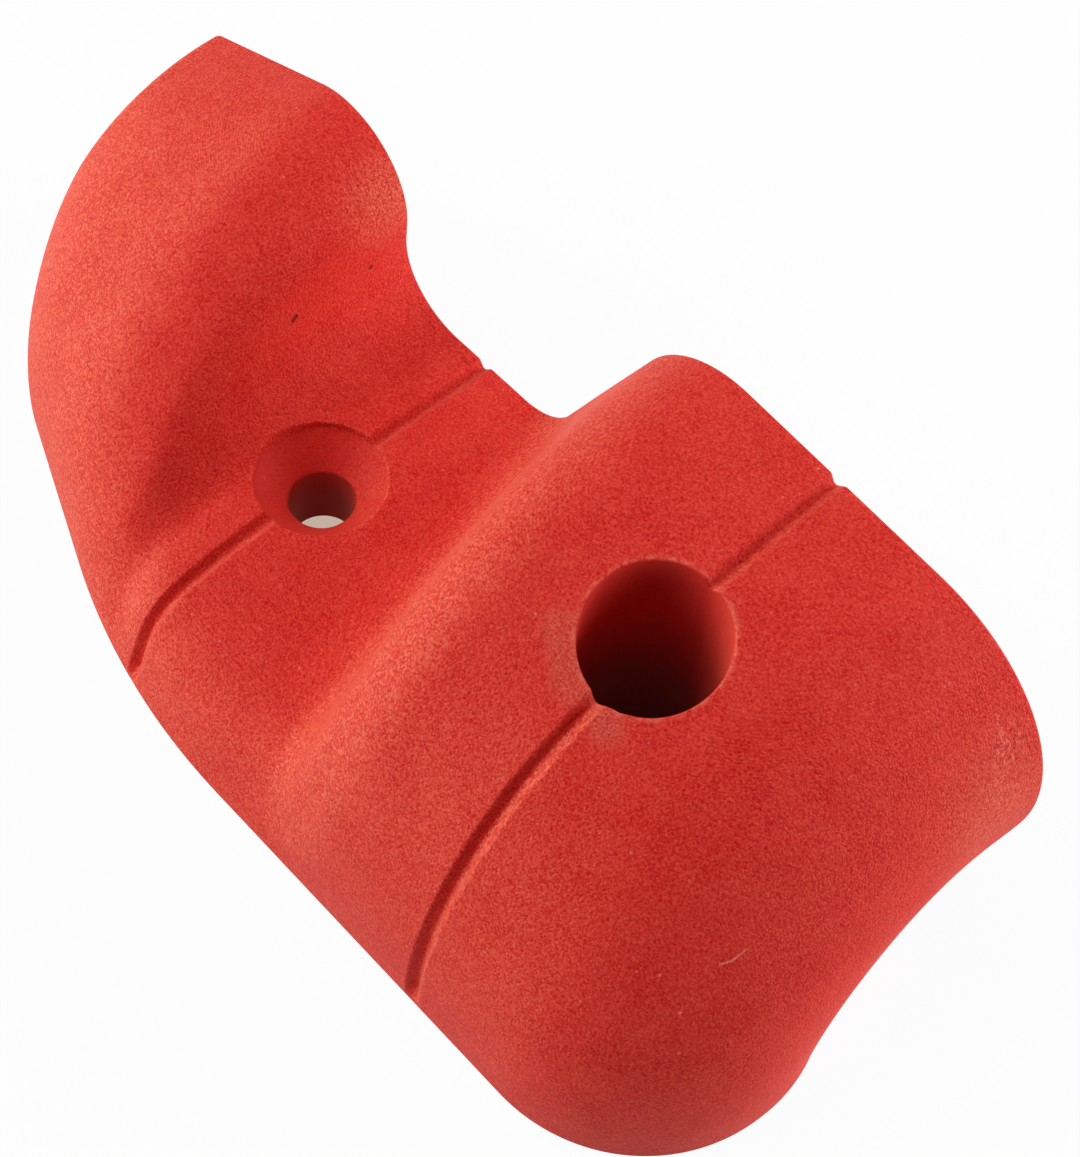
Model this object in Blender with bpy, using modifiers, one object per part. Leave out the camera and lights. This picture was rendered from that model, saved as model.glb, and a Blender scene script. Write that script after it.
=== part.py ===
"""Climbing training rung: one cast resin grip that bolts to a wall by two holes, with a steel seat washer cast
into the floor of the deep one. Metres, +Z out of the wall, origin on the wall face midway between the holes."""

import math

import bmesh
import bpy
import numpy as np

# Bolts, sized for M10
BOLT_SPACING = 0.0700
BORE_D = 0.0110
SEAT_D = 0.0216
SEAT_ANGLE = math.radians(90.0)
SEAT_MOUTH_Z = 0.0178
COUNTERBORE_D = 0.0212

# Seat washer of the deep hole
WASHER_OUTER_D = 0.0250
WASHER_INNER_D = 0.0105
WASHER_THICK = 0.0040
WASHER_FLOOR_Z = 0.0080
GAP = 0.0003

# Far face, the flat side, and its corners: X from the nearer bolt, Z from the wall
FAR_Y = 0.0358
LOBE_FOOT_DX = -0.0834
SHOULDER_DX = -0.0678
SHOULDER_Z = 0.0428
CREST_DX = -0.0189
CREST_Z = 0.0594
LOBE_ROOT_DX = -0.0200
LOBE_ROOT_Z = 0.0195
SLOPE_ROOT_DX = 0.0166
SLOPE_ROOT_Z = 0.0185
SLOPE_TOP_DX = -0.0298
SLOPE_TOP_Z = 0.0635
HUMP_END_DX = 0.0541
HUMP_END_Z = 0.0542
HUMP_FOOT_DX = 0.0402

# Radii of those corners on the far face, and what they grow or shrink to at the wall on the near side
SHOULDER_R = (0.0025, 0.0059)
CREST_R = (0.0157, 0.0121)
LOBE_ROOT_R = (0.0132, 0.0082)
SLOPE_ROOT_R = (0.0107, 0.0110)
SLOPE_TOP_R = (0.0177, 0.0128)
HUMP_END_R = (0.0303, 0.0383)
RADIUS_GROWTH = 0.80

# Outline on the wall, corner by corner round the near side: X from the nearer bolt, Y, radius
LOBE_CORNER_DX = -0.0747
LOBE_CORNER_Y = -0.0109
LOBE_CORNER_R = 0.0504
WAIST_DX = -0.0003
WAIST_Y = -0.0426
WAIST_R = 0.1240
HUMP_CORNER_DX = 0.0449
HUMP_CORNER_Y = -0.0433
HUMP_CORNER_R = 0.0284
FLARE_DX = 0.0487
FLARE_Y = -0.0051
FLARE_R = 0.0268
PINCH_DX = 0.0302
PINCH_Y = 0.0146
PINCH_R = 0.0217

# Where the far corners come down on that outline: X from the nearer bolt, or a share of the way between corners
SHOULDER_LANDS = 0.96
CREST_LANDS_DX = -0.0289
LOBE_ROOT_LANDS_DX = -0.0101
SLOPE_ROOT_LANDS_DX = 0.0346
SLOPE_TOP_LANDS_DX = -0.0209
HUMP_END_LANDS = 0.29

# Fullness of each cross curve, over its top and at its foot, and how late it leaves its own plane
LOBE_TOP_FULLNESS = 1.97
CREST_TOP_FULLNESS = 1.69
LOBE_ROOT_TOP_FULLNESS = 2.96
SADDLE_TOP_FULLNESS = 4.30
HUMP_TOP_FULLNESS = 2.45
END_TOP_FULLNESS = 2.08
LOBE_FOOT_FULLNESS = 1.82
SADDLE_FOOT_FULLNESS = 2.04
HUMP_FOOT_FULLNESS = 2.21
END_FOOT_FULLNESS = 2.36
LOBE_DRIFT = 1.21
SADDLE_DRIFT = 0.87
HUMP_DRIFT = 1.87
END_DRIFT = 1.53

# Index grooves through both holes
GROOVE_WIDTH = 0.0026
GROOVE_DEPTH = 0.0012
GROOVE_FLOOR = 0.0006

EDGE_BEVEL = 0.0005
LONG_STEPS = 108
CROSS_STEPS = 30
ARC_STEPS = 12
ROUND_STEPS = 48
OVERRUN = 0.0030

SADDLE_X = -BOLT_SPACING / 2
HUMP_X = BOLT_SPACING / 2
SEAT_DEPTH = (SEAT_D - BORE_D) / 2 / math.tan(SEAT_ANGLE / 2)


def rounded(corners):
    """The polyline through (a, b, radius) corners with each rounded off, its running length, and the length at the
    middle of each round. Where two rounds would meet, both shrink to share the side."""
    points = np.array([corner[:2] for corner in corners])
    radii = np.array([corner[2] for corner in corners])
    sides = np.diff(points, axis=0)
    lengths = np.hypot(sides[:, 0], sides[:, 1])
    along = sides / lengths[:, None]
    count = len(points)
    opening = np.full(count, math.pi)
    opening[1:-1] = np.arccos(-(along[:-1] * along[1:]).sum(axis=1))
    wanted = radii / np.tan(opening / 2)
    reach = wanted.copy()
    for i in range(1, count - 1):
        for side, other in ((i - 1, i - 1), (i, i + 1)):
            room = lengths[side] * 0.98
            if wanted[i] + wanted[other] > room:
                reach[i] = min(reach[i], room * wanted[i] / (wanted[i] + wanted[other]))
    path = [points[0]]
    middles = [0]
    for i in range(1, count - 1):
        inward = along[i] - along[i - 1]
        inward /= np.hypot(*inward)
        radius = reach[i] * math.tan(opening[i] / 2)
        centre = points[i] + inward * radius / math.sin(opening[i] / 2)
        start = points[i] - along[i - 1] * reach[i] - centre
        stop = points[i] + along[i] * reach[i] - centre
        first = math.atan2(start[1], start[0])
        turn = (math.atan2(stop[1], stop[0]) - first + math.pi) % (2 * math.pi) - math.pi
        middles.append(len(path) + ARC_STEPS)
        for share in np.linspace(0, 1, 2 * ARC_STEPS + 1):
            angle = first + turn * share
            path.append(centre + radius * np.array([math.cos(angle), math.sin(angle)]))
    middles.append(len(path))
    path.append(points[-1])
    path = np.array(path)
    run = np.concatenate([[0], np.cumsum(np.hypot(*np.diff(path, axis=0).T))])
    return path, run, run[middles]


def monotone(knots, values, at):
    """Monotone cubic through the knots: it never overshoots them, so an outline parameter never runs backwards."""
    knots = np.asarray(knots, float)
    values = np.asarray(values, float)
    step = np.diff(knots)
    rise = np.diff(values) / step
    slope = np.zeros(len(knots))
    before = 2 * step[1:] + step[:-1]
    after = step[1:] + 2 * step[:-1]
    same = rise[:-1] * rise[1:] > 0
    left = np.where(same, rise[:-1], 1.0)
    right = np.where(same, rise[1:], 1.0)
    slope[1:-1] = np.where(same, (before + after) / (before / left + after / right), 0.0)
    slope[0] = rise[0]
    slope[-1] = rise[-1]
    i = np.clip(np.searchsorted(knots, at, side="right") - 1, 0, len(step) - 1)
    t = (at - knots[i]) / step[i]
    h = step[i]
    start = (1 + 2 * t) * (1 - t) ** 2 * values[i] + t * (1 - t) ** 2 * h * slope[i]
    return start + t * t * (3 - 2 * t) * values[i + 1] + t * t * (t - 1) * h * slope[i + 1]


def far_corners(growth):
    """Corners of the far profile, (X, Z, radius), with each radius that far on its way to its near-side value."""
    def at(pair):
        return pair[0] + (pair[1] - pair[0]) * growth

    return [
        (SADDLE_X + LOBE_FOOT_DX, 0.0, 0.0),
        (SADDLE_X + SHOULDER_DX, SHOULDER_Z, at(SHOULDER_R)),
        (SADDLE_X + CREST_DX, CREST_Z, at(CREST_R)),
        (SADDLE_X + LOBE_ROOT_DX, LOBE_ROOT_Z, at(LOBE_ROOT_R)),
        (SADDLE_X + SLOPE_ROOT_DX, SLOPE_ROOT_Z, at(SLOPE_ROOT_R)),
        (HUMP_X + SLOPE_TOP_DX, SLOPE_TOP_Z, at(SLOPE_TOP_R)),
        (HUMP_X + HUMP_END_DX, HUMP_END_Z, at(HUMP_END_R)),
        (HUMP_X + HUMP_FOOT_DX, 0.0, 0.0),
    ]


def wall_corners():
    """Corners of the outline on the wall, (X, Y, radius), from the far corner of the lobe round to the hump's."""
    return [
        (SADDLE_X + LOBE_FOOT_DX, FAR_Y, 0.0),
        (SADDLE_X + LOBE_CORNER_DX, LOBE_CORNER_Y, LOBE_CORNER_R),
        (SADDLE_X + WAIST_DX, WAIST_Y, WAIST_R),
        (HUMP_X + HUMP_CORNER_DX, HUMP_CORNER_Y, HUMP_CORNER_R),
        (HUMP_X + FLARE_DX, FLARE_Y, FLARE_R),
        (HUMP_X + PINCH_DX, PINCH_Y, PINCH_R),
        (HUMP_X + HUMP_FOOT_DX, FAR_Y, 0.0),
    ]


def length_at_x(path, run, x, low, high):
    """Running length where the path crosses this X, between two running lengths."""
    for i in range(len(path) - 1):
        a = path[i][0] - x
        b = path[i + 1][0] - x
        if a * b <= 0 and a != b and low <= run[i] <= high:
            return run[i] + (run[i + 1] - run[i]) * a / (a - b)
    raise ValueError("no crossing")


def grip_surface(steps):
    """Grid of points over the grip: rows along its length, columns from the far face down to the wall. Each row is
    one cross curve. At angle a, with fullness n and r = (cos a ** n + sin a ** n) ** (-1 / n), it is r sin a of the
    way across and r cos a of its far height up. Over its lower half n changes from the top's value to the foot's.
    Columns keep the far profile with its radii on their way to the near side, and the rows through the two bolts
    stay in their own planes."""
    path, run, middle = rounded(far_corners(0.0))
    wall, wall_run, wall_middle = rounded(wall_corners())
    pieces = np.maximum(3, np.round(np.diff(middle) / run[-1] * steps).astype(int))
    shares = [np.arange(count) / count for count in pieces]

    def sampled(corners):
        p, r, m = rounded(corners)
        spots = [m[i] + (m[i + 1] - m[i]) * share for i, share in enumerate(shares)]
        s = np.concatenate(spots + [[r[-1]]])
        return np.interp(s, r, p[:, 0]), np.interp(s, r, p[:, 1]), s

    def lands(x):
        return length_at_x(wall, wall_run, x, wall_middle[1], wall_middle[4])

    saddle_at = length_at_x(path, run, SADDLE_X, middle[3], middle[4])
    hump_at = length_at_x(path, run, HUMP_X, middle[5], middle[6])
    knots = [0.0, *middle[1:4], saddle_at, *middle[4:6], hump_at, middle[6], run[-1]]
    landings = [
        0.0,
        wall_middle[1] * SHOULDER_LANDS,
        lands(SADDLE_X + CREST_LANDS_DX),
        lands(SADDLE_X + LOBE_ROOT_LANDS_DX),
        lands(SADDLE_X),
        lands(SADDLE_X + SLOPE_ROOT_LANDS_DX),
        lands(HUMP_X + SLOPE_TOP_LANDS_DX),
        lands(HUMP_X),
        wall_middle[3] + (wall_middle[4] - wall_middle[3]) * HUMP_END_LANDS,
        wall_run[-1],
    ]
    far_x, far_z, s = sampled(far_corners(0.0))
    landing = np.clip(monotone(knots, landings, s), 0, wall_run[-1])
    wall_x = np.interp(landing, wall_run, wall[:, 0])
    wall_y = np.interp(landing, wall_run, wall[:, 1])
    saddle_top = [LOBE_ROOT_TOP_FULLNESS, *[SADDLE_TOP_FULLNESS] * 2]
    hump_top = [*[HUMP_TOP_FULLNESS] * 2, *[END_TOP_FULLNESS] * 2]
    tops = [*[LOBE_TOP_FULLNESS] * 2, CREST_TOP_FULLNESS, *saddle_top, *hump_top]
    top = monotone(knots, tops, s)
    feet = [*[LOBE_FOOT_FULLNESS] * 2, SADDLE_FOOT_FULLNESS, HUMP_FOOT_FULLNESS, END_FOOT_FULLNESS]
    foot = monotone([knots[i] for i in (0, 2, 4, 7, 9)], feet, s)
    drifts = [*[LOBE_DRIFT] * 2, *[SADDLE_DRIFT] * 2, HUMP_DRIFT, *[END_DRIFT] * 2]
    drift = monotone([knots[i] for i in (0, 2, 3, 5, 6, 8, 9)], drifts, s)
    grid = np.zeros((len(s), CROSS_STEPS + 1, 3))
    for column in range(CROSS_STEPS + 1):
        angle = math.pi / 2 * column / CROSS_STEPS
        up = math.cos(angle) if column < CROSS_STEPS else 0.0
        fullness = top + (foot - top) * max(0.0, -math.cos(2 * angle))
        reach = (up**fullness + math.sin(angle) ** fullness) ** (-1 / fullness)
        across = reach * math.sin(angle)
        x, z, _ = sampled(far_corners(math.sin(angle) ** RADIUS_GROWTH))
        grid[:, column, 0] = x + (wall_x - x) * across**drift
        grid[:, column, 1] = FAR_Y + (wall_y - FAR_Y) * across
        grid[:, column, 2] = z * up * reach
    return grid


def collection(name, hidden):
    made = bpy.data.collections.new(name)
    bpy.context.scene.collection.children.link(made)
    made.hide_render = hidden
    return made


def material(name, colour, metallic, roughness):
    made = bpy.data.materials.new(name)
    made.use_nodes = True
    shader = made.node_tree.nodes["Principled BSDF"]
    shader.inputs["Base Color"].default_value = (*colour, 1.0)
    shader.inputs["Metallic"].default_value = metallic
    shader.inputs["Roughness"].default_value = roughness
    return made


def add(name, mesh, home, look=None):
    made = bpy.data.objects.new(name, mesh)
    home.objects.link(made)
    if look:
        mesh.materials.append(look)
    return made


def turned(name, outline, home, x, look=None):
    """Solid of revolution: the (radius, Z) outline, from its top down its outer side, turned by a Screw about Z."""
    mesh = bpy.data.meshes.new(name)
    mesh.from_pydata([(r, 0.0, z) for r, z in outline], [(i, i + 1) for i in range(len(outline) - 1)], [])
    made = add(name, mesh, home, look)
    made.location.x = x
    screw = made.modifiers.new("Turn", "SCREW")
    screw.axis = "Z"
    screw.steps = ROUND_STEPS
    screw.render_steps = ROUND_STEPS
    screw.use_merge_vertices = True
    screw.merge_threshold = 0.00001
    screw.use_smooth_shade = True
    return made


def grip_mesh(name):
    """The grip's solid: the surface grid, closed by the flat far face and the flat face on the wall."""
    grid = grip_surface(LONG_STEPS)
    built = bmesh.new()
    weight = built.edges.layers.float.new("bevel_weight_edge")
    ends = [built.verts.new(grid[0, 0]), built.verts.new(grid[-1, 0])]
    rows = [[built.verts.new(point) for point in row] for row in grid[1:-1]]
    for row, after in zip(rows, rows[1:]):
        for column in range(CROSS_STEPS):
            built.faces.new((row[column], row[column + 1], after[column + 1], after[column]))
    for column in range(CROSS_STEPS):
        built.faces.new((ends[0], rows[0][column + 1], rows[0][column]))
        built.faces.new((ends[1], rows[-1][column], rows[-1][column + 1]))
    for face in built.faces:
        face.smooth = True
    far = built.faces.new([ends[0], *[row[0] for row in rows], ends[1]])
    built.faces.new([ends[1], *[row[-1] for row in reversed(rows)], ends[0]])
    for edge in far.edges:
        if max(vert.co.z for vert in edge.verts) > 0.002:
            edge[weight] = 1.0
    bmesh.ops.recalc_face_normals(built, faces=built.faces)
    mesh = bpy.data.meshes.new(name)
    built.to_mesh(mesh)
    built.free()
    return mesh


def groove_mesh(name, x):
    """Cutter for one index groove: a V with a narrow floor, swept along the grip's cross curve at this X."""
    grid = grip_surface(LONG_STEPS)
    row = grid[int(np.argmin(np.abs(grid[:, 0, 0] - x) + np.abs(grid[:, -1, 0] - x)))]
    track = np.column_stack([row[:, 1], row[:, 2]])
    track = np.vstack([[FAR_Y + OVERRUN, track[0, 1]], track, [track[-1, 0], -OVERRUN]])
    ahead = np.gradient(track, axis=0)
    ahead /= np.hypot(ahead[:, 0], ahead[:, 1])[:, None]
    out = np.column_stack([-ahead[:, 1], ahead[:, 0]])
    out *= np.sign(out[0, 1])
    flare = (GROOVE_WIDTH - GROOVE_FLOOR) / 2 / GROOVE_DEPTH
    half_floor = GROOVE_FLOOR / 2
    half_top = GROOVE_WIDTH / 2 + flare * GROOVE_DEPTH
    low = -GROOVE_DEPTH
    high = GROOVE_DEPTH
    section = [(-half_floor, low), (half_floor, low), (half_top, high), (-half_top, high)]
    built = bmesh.new()
    rings = []
    for spot, normal in zip(track, out):
        ring = [(x + a, spot[0] + b * normal[0], spot[1] + b * normal[1]) for a, b in section]
        rings.append([built.verts.new(point) for point in ring])
    for ring, after in zip(rings, rings[1:]):
        for k in range(4):
            built.faces.new((ring[k], ring[(k + 1) % 4], after[(k + 1) % 4], after[k]))
    built.faces.new(rings[0])
    built.faces.new(rings[-1])
    bmesh.ops.recalc_face_normals(built, faces=built.faces)
    mesh = bpy.data.meshes.new(name)
    built.to_mesh(mesh)
    built.free()
    return mesh


for old in list(bpy.data.objects):
    bpy.data.objects.remove(old, do_unlink=True)

rung = collection("climbing_training_rung", False)
cutters = collection("cutters", True)
resin = material("red_resin", (0.70, 0.030, 0.023), 0.0, 0.75)
steel = material("zinc_plated_steel", (0.62, 0.62, 0.60), 1.0, 0.35)

# The saddle's bolt hole: plain bore with a conical seat for a countersunk head
bore_r = BORE_D / 2
seat_r = SEAT_D / 2
above = CREST_Z + OVERRUN
seat_outline = [
    (0, above),
    (seat_r, above),
    (seat_r, SEAT_MOUTH_Z),
    (bore_r, SEAT_MOUTH_Z - SEAT_DEPTH),
    (bore_r, -OVERRUN),
    (0, -OVERRUN),
]
seat_cutter = turned("saddle_hole_cutter", seat_outline, cutters, SADDLE_X)

# The hump's bolt hole: deep counterbore, the washer's pocket, and a plain bore below it
counterbore_r = COUNTERBORE_D / 2
pocket_r = WASHER_OUTER_D / 2 + GAP
pocket_low = WASHER_FLOOR_Z
pocket_high = WASHER_FLOOR_Z + WASHER_THICK + 2 * GAP
above = SLOPE_TOP_Z + 2 * OVERRUN
deep_outline = [
    (0, above),
    (counterbore_r, above),
    (counterbore_r, pocket_high),
    (pocket_r, pocket_high),
    (pocket_r, pocket_low),
    (bore_r, pocket_low),
    (bore_r, -OVERRUN),
    (0, -OVERRUN),
]
deep_cutter = turned("hump_hole_cutter", deep_outline, cutters, HUMP_X)
groove_cutters = [
    add("saddle_groove_cutter", groove_mesh("saddle_groove_cutter", SADDLE_X), cutters),
    add("hump_groove_cutter", groove_mesh("hump_groove_cutter", HUMP_X), cutters),
]

# The grip
body = add("hold_body", grip_mesh("hold_body"), rung, resin)
bevel = body.modifiers.new("Far edge", "BEVEL")
bevel.limit_method = "WEIGHT"
bevel.width = EDGE_BEVEL
bevel.segments = 2
for cutter in [seat_cutter, deep_cutter, *groove_cutters]:
    cutter.display_type = "WIRE"
    cutter.hide_render = True
    cut = body.modifiers.new(cutter.name, "BOOLEAN")
    cut.operation = "DIFFERENCE"
    cut.solver = "EXACT"
    cut.object = cutter

# The seat washer
low = WASHER_FLOOR_Z + GAP
high = low + WASHER_THICK
inner = WASHER_INNER_D / 2
outer = WASHER_OUTER_D / 2
washer_outline = [(inner, high), (outer, high), (outer, low), (inner, low), (inner, high)]
turned("seat_washer", washer_outline, rung, HUMP_X, steel)
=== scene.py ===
"""Climbing training rung: a red resin grip, cast in one piece with two bolt holes and two index grooves, and
the steel seat washer in its deep hole. It lies on its flat back on a white table top."""

import math

import bmesh
import bpy
import numpy as np
from mathutils import Matrix, Vector


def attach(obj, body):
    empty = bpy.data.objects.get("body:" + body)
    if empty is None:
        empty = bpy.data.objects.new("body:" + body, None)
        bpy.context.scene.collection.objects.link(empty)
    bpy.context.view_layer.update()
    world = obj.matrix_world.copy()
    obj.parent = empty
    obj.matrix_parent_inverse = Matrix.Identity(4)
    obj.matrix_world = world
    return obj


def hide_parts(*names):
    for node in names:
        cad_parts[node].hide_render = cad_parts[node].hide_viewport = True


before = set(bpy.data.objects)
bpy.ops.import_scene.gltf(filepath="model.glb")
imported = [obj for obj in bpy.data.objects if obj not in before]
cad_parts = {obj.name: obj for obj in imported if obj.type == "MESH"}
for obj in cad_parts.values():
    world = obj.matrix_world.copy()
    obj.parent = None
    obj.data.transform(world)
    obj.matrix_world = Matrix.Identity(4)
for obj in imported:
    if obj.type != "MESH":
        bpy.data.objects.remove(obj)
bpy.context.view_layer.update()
for old in [bpy.data.objects[name] for name in ("Cube", "Light", "Camera") if name in bpy.data.objects]:
    bpy.data.objects.remove(old, do_unlink=True)

# The grip
# One block of filled polyester resin, cast in a mould whose sandy face it keeps. The far side and the back are
# flat, and the rest is one flowing surface: a tall lobe, a low saddle and a broad hump.

BOLT_SPACING = 0.0700
SADDLE_X = -BOLT_SPACING / 2
HUMP_X = BOLT_SPACING / 2
FAR_Y = 0.0358

# Far profile: X, Z, radius on the far face, radius at the wall on the near side
FAR_CORNERS = np.array(
    [
        (SADDLE_X - 0.0834, 0.0, 0.0, 0.0),
        (SADDLE_X - 0.0678, 0.0428, 0.0025, 0.0059),
        (SADDLE_X - 0.0189, 0.0594, 0.0157, 0.0121),
        (SADDLE_X - 0.0200, 0.0195, 0.0132, 0.0082),
        (SADDLE_X + 0.0166, 0.0185, 0.0107, 0.0110),
        (HUMP_X - 0.0298, 0.0635, 0.0177, 0.0128),
        (HUMP_X + 0.0541, 0.0542, 0.0303, 0.0383),
        (HUMP_X + 0.0402, 0.0, 0.0, 0.0),
    ]
)
# Outline on the wall, from the lobe's far corner round the near side: X, Y, radius
WALL_CORNERS = np.array(
    [
        (SADDLE_X - 0.0834, FAR_Y, 0.0),
        (SADDLE_X - 0.0747, -0.0109, 0.0504),
        (SADDLE_X - 0.0003, -0.0426, 0.1240),
        (HUMP_X + 0.0449, -0.0433, 0.0284),
        (HUMP_X + 0.0487, -0.0051, 0.0268),
        (HUMP_X + 0.0302, 0.0146, 0.0217),
        (HUMP_X + 0.0402, FAR_Y, 0.0),
    ]
)
# Where the far corners come down on that outline: a share of its first side, places in X, a share of its fourth
SHOULDER_LANDS = 0.96
LANDS_X = (SADDLE_X - 0.0289, SADDLE_X - 0.0101, SADDLE_X, SADDLE_X + 0.0346, HUMP_X - 0.0209, HUMP_X)
END_LANDS = 0.29
# Along the grip from the lobe's tip: how full each cross curve is over its top and at its foot, and how late it
# leaves its own plane. The knots are the ten places where the profile's corners and the two grooves are
TOP_FULLNESS = (1.97, 1.97, 1.69, 2.96, 4.30, 4.30, 2.45, 2.45, 2.08, 2.08)
FOOT_FULLNESS = (1.82, 1.82, 2.04, 2.21, 2.36)
FOOT_KNOTS = [0, 2, 4, 7, 9]
DRIFT = (1.21, 1.21, 0.87, 0.87, 1.87, 1.53, 1.53)
DRIFT_KNOTS = [0, 2, 3, 5, 6, 8, 9]
# How soon the profile's radii change on the way to the wall
RADIUS_GROWTH = 0.8
# The rounds of the far edge and of the foot, which take at most a share of the width or the height there
FAR_EDGE_R = 0.0005
FOOT_R = 0.0004
ROUND_SHARE = 0.3
# A groove's half widths towards the lobe and towards the hump's end, its depth, and the height over which it
# runs out at the wall
GROOVE_SIDES = (0.0014, 0.0019)
GROOVE_DEPTH = 0.0014
GROOVE_FADE_Z = 0.004
# The mesh: its step along the grip, closer within a reach of each groove, and its columns from far face to wall
ROW_STEP = 0.0006
GROOVE_STEP = 0.0002
GROOVE_REACH = 0.0024
GROOVE_EASE = 0.003
ROW_SAMPLES = 40001
CROSSING_SAMPLES = 4001
ROUND_COLUMNS = 5
CROSS_COLUMNS = 112
# Two rounds use at most this much of the side they share. TINY stands in for a length of zero in a division
SIDE_USE = 0.98
TINY = 1e-9


def pick(table, index):
    """The entry of each row of the table that the index names. A table of one row serves every index."""
    table = np.broadcast_to(table, (*index.shape, table.shape[-1]))
    return np.take_along_axis(table, index[..., None], -1)[..., 0]


def corner_rounds(points, radii):
    """Each side's direction and length, then each corner's tangent length, radius, half arc, bisector, sense of
    turning and distance to the centre of its round. A tangent length is the radius over the tangent of half the
    opening. Two rounds that would meet both shrink to share their side."""
    sides = np.diff(points, axis=0)
    lengths = np.hypot(*sides.T)
    along = sides / lengths[:, None]
    opening = np.full(len(points), math.pi)
    opening[1:-1] = np.arccos(-(along[:-1] * along[1:]).sum(axis=1))
    slope = np.tan(opening / 2)
    wanted = radii / slope
    share = np.minimum(1, SIDE_USE * lengths / np.maximum(wanted[..., :-1] + wanted[..., 1:], TINY))
    shrink = np.ones_like(wanted)
    shrink[..., :-1] = share
    shrink[..., 1:] = np.minimum(shrink[..., 1:], share)
    reach = wanted * shrink
    radius = reach * slope
    half = radius * (math.pi - opening) / 2
    bisector = np.zeros_like(points)
    bisector[1:-1] = along[1:] - along[:-1]
    bisector[1:-1] /= np.hypot(*bisector[1:-1].T)[:, None]
    sense = np.zeros(len(points))
    sense[1:-1] = np.sign(along[:-1, 0] * along[1:, 1] - along[:-1, 1] * along[1:, 0])
    return along, lengths, reach, radius, half, bisector, sense, radius / np.sin(opening / 2)


def on_rounded(points, radii, side, share):
    """Points on the rounded polyline, a share of the way along a side from the middle of one round to the
    middle of the next: half an arc, the straight, half an arc. A point of an arc is its centre less the
    bisector, turned by the angle travelled and as long as the radius."""
    along, lengths, reach, radius, half, bisector, sense, off = corner_rounds(points, radii)
    before, after = pick(half, side), pick(half, side + 1)
    straight = lengths[side] - pick(reach, side) - pick(reach, side + 1)
    run = share * (before + straight + after)

    def arc(corner, travelled):
        r = pick(radius, corner)
        angle = sense[corner] * travelled / np.maximum(r, TINY)
        bx, by = bisector[corner, 0], bisector[corner, 1]
        x = points[corner, 0] + bx * pick(off, corner) - r * (bx * np.cos(angle) - by * np.sin(angle))
        y = points[corner, 1] + by * pick(off, corner) - r * (bx * np.sin(angle) + by * np.cos(angle))
        return np.stack([x, y], axis=-1)

    place = points[side] + along[side] * (pick(reach, side) + run - before)[..., None]
    place = np.where((run < before)[..., None], arc(side, run), place)
    arriving = arc(side + 1, run - before - straight - after)
    return np.where((run > before + straight)[..., None], arriving, place)


def round_middles(points, radii):
    """Running length of the rounded polyline at the middle of each round."""
    _, lengths, reach, _, half, *_ = corner_rounds(points, radii)
    return np.concatenate([[0], np.cumsum(half[:-1] + lengths - reach[:-1] - reach[1:] + half[1:])])


def at_length(points, radii, run):
    """Points on the rounded polyline at these running lengths."""
    marks = round_middles(points, radii)
    side = np.clip(np.searchsorted(marks, run, side="right") - 1, 0, len(points) - 2)
    return on_rounded(points, radii, side, (run - marks[side]) / (marks[side + 1] - marks[side]))


def length_at_x(points, radii, x, first, last):
    """Running length, between the middles of two rounds, at which the rounded polyline crosses this X."""
    marks = round_middles(points, radii)
    run = np.linspace(marks[first], marks[last], CROSSING_SAMPLES)
    gap = at_length(points, radii, run)[:, 0] - x
    i = np.argmax(gap[:-1] * gap[1:] <= 0)
    return run[i] + (run[i + 1] - run[i]) * gap[i] / (gap[i] - gap[i + 1])


def monotone(knots, values, at):
    """Monotone cubic through the knots. Its slope at each is the weighted harmonic mean of the rises there."""
    knots, values = np.asarray(knots), np.asarray(values)
    step = np.diff(knots)
    rise = np.diff(values) / step
    same = rise[:-1] * rise[1:] > 0
    left, right = np.where(same, rise[:-1], 1), np.where(same, rise[1:], 1)
    weighted = (2 * step[1:] + step[:-1]) / left + (step[1:] + 2 * step[:-1]) / right
    mean = 3 * (step[1:] + step[:-1]) / weighted
    slope = np.concatenate([rise[:1], np.where(same, mean, 0), rise[-1:]])
    i = np.clip(np.searchsorted(knots, at, side="right") - 1, 0, len(step) - 1)
    t, h = (at - knots[i]) / step[i], step[i]
    start = (1 + 2 * t) * (1 - t) ** 2 * values[i] + t * (1 - t) ** 2 * h * slope[i]
    return start + t * t * (3 - 2 * t) * values[i + 1] + t * t * (t - 1) * h * slope[i + 1]


def smooth(value):
    """Eases from 0 to 1 as the value goes from 0 to 1."""
    value = np.clip(value, 0, 1)
    return value * value * (3 - 2 * value)


def normals_of(grid):
    """Unit normals of a grid of points, from the differences of its neighbours both ways."""
    out = np.cross(np.gradient(grid, axis=1), np.gradient(grid, axis=0))
    return out / np.maximum(np.linalg.norm(out, axis=2, keepdims=True), TINY**2)


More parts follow.
